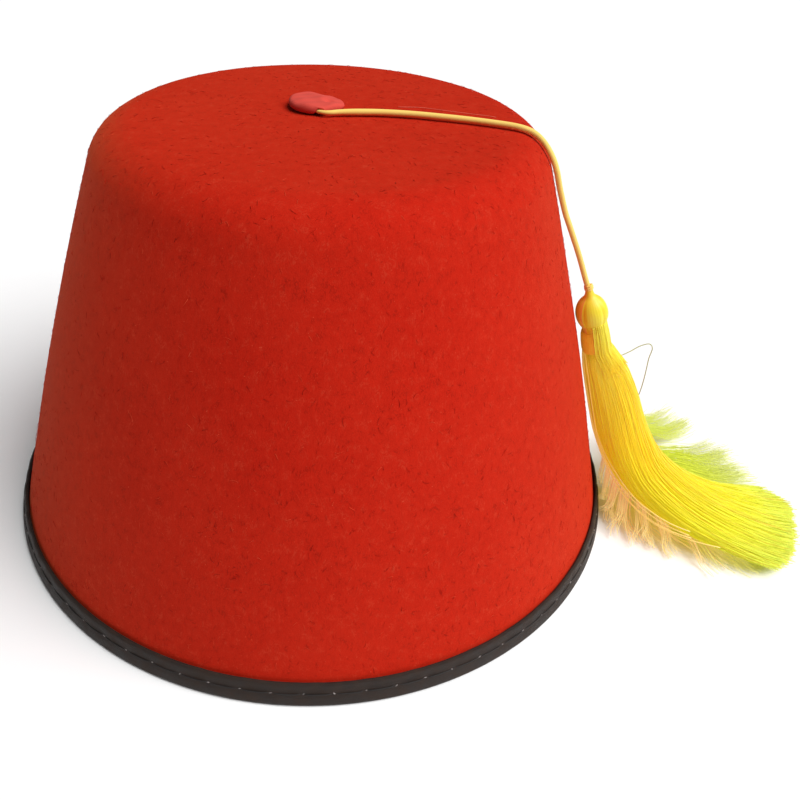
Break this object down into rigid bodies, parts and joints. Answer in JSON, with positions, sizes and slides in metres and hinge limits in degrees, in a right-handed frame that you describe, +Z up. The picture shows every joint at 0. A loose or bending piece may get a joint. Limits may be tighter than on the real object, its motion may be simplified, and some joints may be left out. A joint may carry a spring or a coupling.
{
  "type": "fez hat",
  "caption": "Brimless conical felt hat with a flat top, bound rim, covered top button, thin cord and a tassel that hangs at the side",
  "frame": {"origin": "centre of the rim on the plane that the hat stands on", "axes": "+Z up along the crown's axis; +X towards the side that the tassel hangs at; -Y towards the front in the picture"},
  "size_m": [0.2434, 0.1888, 0.1202],
  "materials": {
    "crown_felt": "short-napped red wool felt",
    "binding_tape": "dark grey woven tape with a slight sheen, stitched once round",
    "button_felt": "red felt cover",
    "cord_satin": "smooth yellow satin cord",
    "tassel_threads": "glossy yellow rayon threads"
  },
  "bodies": {
    "root": {"crown": "crown_felt", "rim_binding": "binding_tape", "top_button": "button_felt", "tassel_cord": "cord_satin", "tassel": "tassel_threads"}
  },
  "joints": []
}
